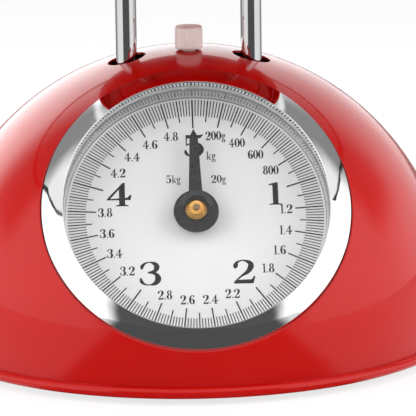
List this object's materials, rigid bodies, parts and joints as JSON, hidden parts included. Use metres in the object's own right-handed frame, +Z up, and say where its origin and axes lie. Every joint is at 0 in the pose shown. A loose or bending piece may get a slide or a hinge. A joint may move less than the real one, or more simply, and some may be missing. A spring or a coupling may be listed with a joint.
{
  "type": "kitchen scale",
  "caption": "Domed dial kitchen scale with a removable bowl on a sprung platform, a tilted round dial, a rack-driven pointer and a zero knob.",
  "frame": {"origin": "middle of the round footprint, on the surface that the feet stand on", "axes": "+Z up, -Y towards the dial, +X to the reader's right"},
  "size_m": [0.2464, 0.2464, 0.2331],
  "materials": {
    "red_enamel": "high gloss enamel",
    "chrome": "mirror plate",
    "bowl_steel": "bright satin",
    "zinc_steel": "zinc plated",
    "bright_steel": "turned",
    "spring_steel": "oiled",
    "cup_paint": "satin",
    "dial_white": "printed, satin",
    "lens_glass": "clear",
    "rubber": "matt",
    "pointer_black": "satin black",
    "brass": "turned",
    "knob_plastic": "satin",
    "nylon": "satin"
  },
  "bodies": {
    "housing": {"dome_shell": "red_enamel", "base_pan": "zinc_steel", "rubber_feet": "rubber", "skirt_tabs": "zinc_steel", "base_screws": "bright_steel", "chassis_screws": "bright_steel", "chassis_frame": "zinc_steel", "upper_frame_pin": "bright_steel", "lower_frame_pin": "bright_steel", "frame_pin_clips": "bright_steel", "dial_bezel": "chrome", "dial_lens": "lens_glass", "lens_gasket": "rubber", "dial_cup": "cup_paint", "dial_plate": "dial_white", "dial_brackets": "zinc_steel", "bracket_rivets": "bright_steel", "front_movement_plate": "zinc_steel", "rear_movement_plate": "zinc_steel", "movement_pillars": "zinc_steel", "movement_screws": "bright_steel", "cup_rivets": "bright_steel", "front_bush": "brass", "rear_bush": "brass", "rack_guide": "nylon", "zero_bush": "brass", "left_spring": "spring_steel", "right_spring": "spring_steel"},
    "carriage": {"left_post": "chrome", "right_post": "chrome", "post_plugs": "zinc_steel", "upper_crosshead": "zinc_steel", "lower_crosshead": "zinc_steel", "crosshead_screws": "bright_steel", "lower_spring_pins": "bright_steel", "upper_carriage_pin": "bright_steel", "lower_carriage_pin": "bright_steel", "drive_bracket": "zinc_steel", "drive_pin": "bright_steel", "drive_screw": "bright_steel", "platform": "red_enamel", "platform_screws": "bright_steel"},
    "bowl": {"bowl": "bowl_steel"},
    "rack": {"rack": "zinc_steel"},
    "pointer": {"arbor": "bright_steel", "pinion": "brass", "pointer_hub": "pointer_black", "pointer": "pointer_black", "hub_nut": "brass"},
    "zero_adjuster": {"zero_screw": "bright_steel", "zero_clip": "bright_steel", "zero_knob": "knob_plastic"},
    "spring_yoke": {"spring_yoke": "zinc_steel", "yoke_pins": "bright_steel"},
    "upper_arm": {"upper_arm": "zinc_steel"},
    "lower_arm": {"lower_arm": "zinc_steel"}
  },
  "joints": [
    {"name": "load_slide", "type": "slide", "parent": "housing", "child": "carriage", "axis": [0, 0, -1], "range_m": [0, 0.01276], "stiffness_N_per_m": 3845.2, "springref_m": -0.0024, "deforming": ["left_spring", "right_spring"]},
    {"name": "bowl_lift", "type": "slide", "parent": "carriage", "child": "bowl", "axis": [0, 0, 1], "range_m": [0, 0.06]},
    {"name": "rack_slide", "type": "slide", "parent": "housing", "child": "rack", "axis": [0, -0.5835, -0.8121], "range_m": [0, 0.01571]},
    {"name": "pointer_turn", "type": "hinge", "parent": "housing", "child": "pointer", "pos_m": [0, -0.07226, 0.073], "axis": [0, 0.8121, -0.5835], "range_deg": [0, 360.1]},
    {"name": "upper_arm_turn", "type": "hinge", "parent": "housing", "child": "upper_arm", "pos_m": [0, 0.046, 0.08062], "axis": [1, 0, 0], "range_deg": [0, 18.69]},
    {"name": "lower_arm_turn", "type": "hinge", "parent": "housing", "child": "lower_arm", "pos_m": [0, 0.046, 0.04962], "axis": [1, 0, 0], "range_deg": [0, 18.69]},
    {"name": "zero_knob_turn", "type": "hinge", "parent": "housing", "child": "zero_adjuster", "pos_m": [0, -0.0078, 0.14], "axis": [0, 0, 1], "range_deg": [-720.5, 720.5]},
    {"name": "yoke_slide", "type": "slide", "parent": "housing", "child": "spring_yoke", "axis": [0, 0, 1], "range_m": [-0.0016, 0.0016]}
  ],
  "couplings": [
    {"joint": "rack_slide", "follows": "load_slide", "ratio": 1.2314},
    {"joint": "pointer_turn", "follows": "load_slide", "rad_per_m": 492.56},
    {"joint": "upper_arm_turn", "follows": "load_slide", "rad_per_m": 25.545},
    {"joint": "lower_arm_turn", "follows": "load_slide", "rad_per_m": 25.545},
    {"joint": "zero_knob_turn", "follows": "yoke_slide", "rad_per_m": -7854}
  ]
}
